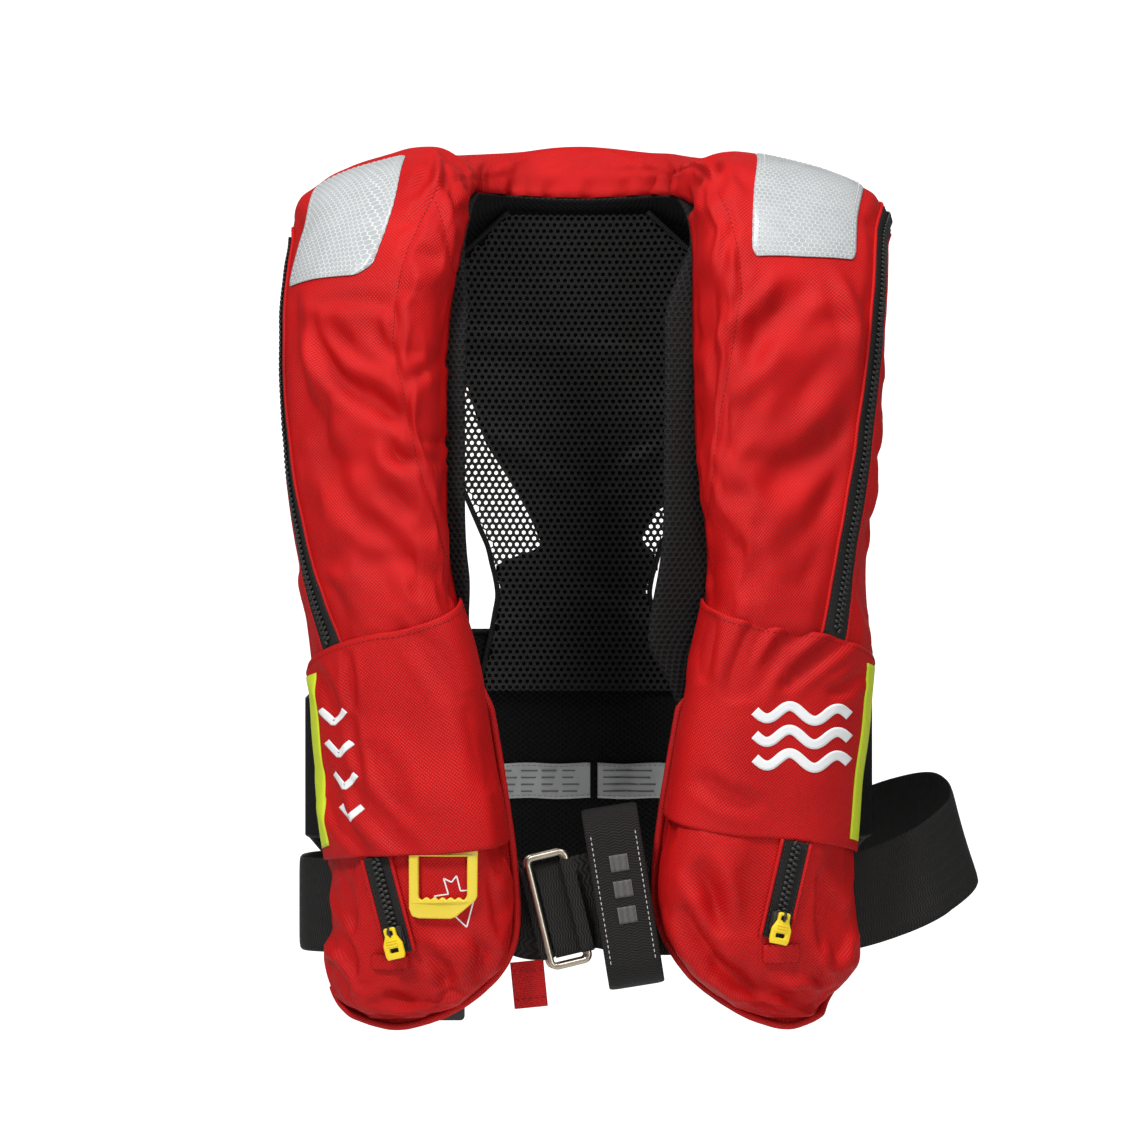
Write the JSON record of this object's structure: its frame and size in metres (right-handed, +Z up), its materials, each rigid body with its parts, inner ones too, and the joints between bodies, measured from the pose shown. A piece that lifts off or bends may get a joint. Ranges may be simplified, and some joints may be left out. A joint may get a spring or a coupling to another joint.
{
  "type": "inflatable life jacket",
  "caption": "Waist-belted inflatable life jacket: two zipped front lobes and a collar over a folded bladder, with a gas inflator, pull handle, mesh back and webbing harness.",
  "frame": {"origin": "in the neck opening, where the wearer's neck carries the jacket", "axes": "+Z up along the wearer's body, -Y to the front, +X to the viewer's right when the front is faced (the wearer's left)"},
  "size_m": [0.3838, 0.249, 0.487],
  "materials": {
    "red_cloth": "matt woven polyester",
    "red_piping": "covered edge cord",
    "black_mesh": "open hexagonal spacer mesh",
    "black_webbing": "ribbed polyester webbing",
    "red_webbing": "flat woven tape",
    "zip_tape": "knitted zip tape",
    "zip_teeth": "moulded teeth",
    "yellow_plastic": "moulded, slightly glossy",
    "handle_cord": "braided cord",
    "reflective_film": "retroreflective film in hexagonal cells",
    "fluorescent_tape": "fluorescent tape",
    "label_cloth": "printed woven label without text",
    "bladder_cloth": "coated nylon",
    "black_plastic": "moulded",
    "gas_steel": "zinc plated",
    "buckle_steel": "satin stainless wire"
  },
  "bodies": {
    "vest": {"back_mesh": "black_mesh", "back_yoke": "red_cloth", "band_left": "red_cloth", "band_right": "red_cloth", "belt_left": "black_webbing", "belt_right": "black_webbing", "bladder": "bladder_cloth", "buckle_receiver": "buckle_steel", "collar_cover": "red_cloth", "cover_lower_left": "red_cloth", "cover_lower_right": "red_cloth", "cover_upper_left": "red_cloth", "cover_upper_right": "red_cloth", "fluoro_strip_left": "fluorescent_tape", "fluoro_strip_right": "fluorescent_tape", "gas_cylinder": "gas_steel", "harness_loop": "black_webbing", "inflator_body": "black_plastic", "inflator_cap": "yellow_plastic", "instruction_label_left": "label_cloth", "instruction_label_right": "label_cloth", "leg_strap_left": "black_webbing", "leg_strap_right": "black_webbing", "lining_collar": "black_mesh", "lining_left": "black_mesh", "lining_right": "black_mesh", "manifold_neck": "black_plastic", "oral_tube": "black_plastic", "oral_tube_neck": "black_plastic", "piping_left": "red_piping", "piping_right": "red_piping", "reflective_patch_left": "reflective_film", "reflective_patch_right": "reflective_film", "waist_panel": "black_mesh", "whistle": "yellow_plastic", "zip_chain_lower_left": "zip_teeth", "zip_chain_lower_right": "zip_teeth", "zip_chain_upper_left": "zip_teeth", "zip_chain_upper_right": "zip_teeth", "zip_garage_left": "red_cloth", "zip_garage_right": "red_cloth", "zip_tape_lower_left": "zip_tape", "zip_tape_lower_right": "zip_tape", "zip_tape_upper_left": "zip_tape", "zip_tape_upper_right": "zip_tape"},
    "zip_slider_left": {"zip_slider_left": "zip_teeth"},
    "zip_slider_right": {"zip_slider_right": "zip_teeth"},
    "zip_pull_left": {"zip_pull_left": "yellow_plastic"},
    "zip_pull_right": {"zip_pull_right": "yellow_plastic"},
    "handle": {"inflation_handle": "yellow_plastic", "handle_lanyard": "handle_cord"},
    "inflator_lever": {"inflator_lever": "yellow_plastic"},
    "buckle_hook": {"buckle_hook": "buckle_steel"},
    "oral_cap": {"oral_cap": "yellow_plastic"},
    "pull_tab": {"pull_tab": "red_webbing"},
    "leg_clip_left": {"leg_clip_left": "black_plastic"},
    "leg_clip_right": {"leg_clip_right": "black_plastic"}
  },
  "joints": [
    {"name": "zip_slide_left", "type": "slide", "parent": "vest", "child": "zip_slider_left", "axis": [-0.2494, -0.0163, 0.9683], "range_m": [0, 0.03]},
    {"name": "zip_slide_right", "type": "slide", "parent": "vest", "child": "zip_slider_right", "axis": [0.2215, -0.02, 0.9749], "range_m": [0, 0.03]},
    {"name": "zip_pull_turn_left", "type": "hinge", "parent": "zip_slider_left", "child": "zip_pull_left", "pos_m": [-0.10126, -0.11547, -0.38245], "axis": [-0.8983, 0.3774, -0.225], "range_deg": [0, 140]},
    {"name": "zip_pull_turn_right", "type": "hinge", "parent": "zip_slider_right", "child": "zip_pull_right", "pos_m": [0.10862, -0.11712, -0.37436], "axis": [-0.9245, -0.3225, 0.2034], "range_deg": [0, 140]},
    {"name": "handle_pull", "type": "slide", "parent": "vest", "child": "handle", "axis": [0.1207, 0.0535, -0.9912], "range_m": [0, 0.04]},
    {"name": "lever_turn", "type": "hinge", "parent": "vest", "child": "inflator_lever", "pos_m": [-0.07054, -0.11145, -0.31862], "axis": [-0.0011, -1, 0.0073], "range_deg": [0, 82]},
    {"name": "buckle_tilt", "type": "hinge", "parent": "vest", "child": "buckle_hook", "pos_m": [-0.02302, -0.082, -0.3754], "axis": [-0.2334, 0, 0.9724], "range_deg": [0, 40]},
    {"name": "oral_cap_slide", "type": "slide", "parent": "vest", "child": "oral_cap", "axis": [0.027, 0.0473, 0.9985], "range_m": [0, 0.012]},
    {"name": "tab_swing", "type": "hinge", "parent": "vest", "child": "pull_tab", "pos_m": [-0.02859, -0.0788, -0.4013], "axis": [0.995, 0, 0.0995], "range_deg": [-15, 30]},
    {"name": "leg_clip_swing_left", "type": "hinge", "parent": "vest", "child": "leg_clip_left", "pos_m": [-0.072, -0.0705, -0.418], "axis": [1, 0, 0], "range_deg": [-15, 40]},
    {"name": "leg_clip_swing_right", "type": "hinge", "parent": "vest", "child": "leg_clip_right", "pos_m": [0.084, -0.07, -0.409], "axis": [1, 0, 0], "range_deg": [-15, 40]}
  ],
  "couplings": [
    {"joint": "lever_turn", "follows": "handle_pull", "rad_per_m": 34.9}
  ]
}
